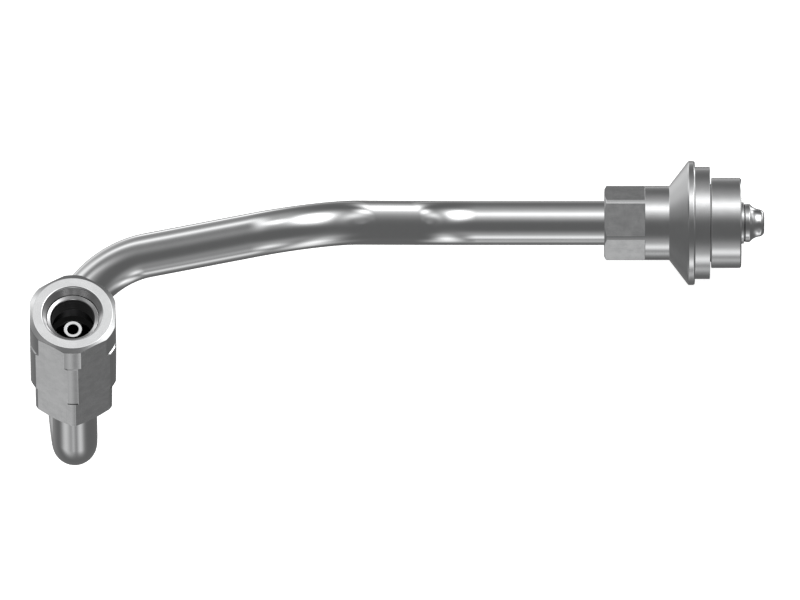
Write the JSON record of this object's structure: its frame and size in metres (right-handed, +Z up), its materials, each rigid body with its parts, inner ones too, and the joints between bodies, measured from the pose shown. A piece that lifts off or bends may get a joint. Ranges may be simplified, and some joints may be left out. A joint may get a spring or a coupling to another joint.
{
  "type": "bent tube assembly",
  "caption": "Rigid steel pipe bent in space, with a swivelling union nut on a hexagon end body at one end and a coned flange with sealing washer, spigot ring and nose at the other.",
  "frame": {"origin": "centre of the sealing washer's front face, on the axis of the flange fitting", "axes": "+X along the flange axis, out of its nose; +Z up, along the union nut's axis out of its mouth; +Y to the back"},
  "size_m": [0.1647, 0.0948, 0.0983],
  "materials": {
    "tube_steel": "polished",
    "turned_steel": "satin",
    "washer_steel": "satin",
    "spring_steel": "satin"
  },
  "bodies": {
    "line": {"tube": "tube_steel", "end_body": "turned_steel", "snap_ring": "spring_steel", "flange_fitting": "turned_steel", "sealing_washer": "washer_steel", "spigot_ring": "turned_steel"},
    "nut": {"union_nut": "turned_steel"}
  },
  "joints": [
    {"name": "nut_swivel", "type": "hinge", "parent": "line", "child": "nut", "pos_m": [-0.14281, -0.0704, 0.06724], "axis": [0.0003, 0.0002, 1], "continuous": true}
  ]
}
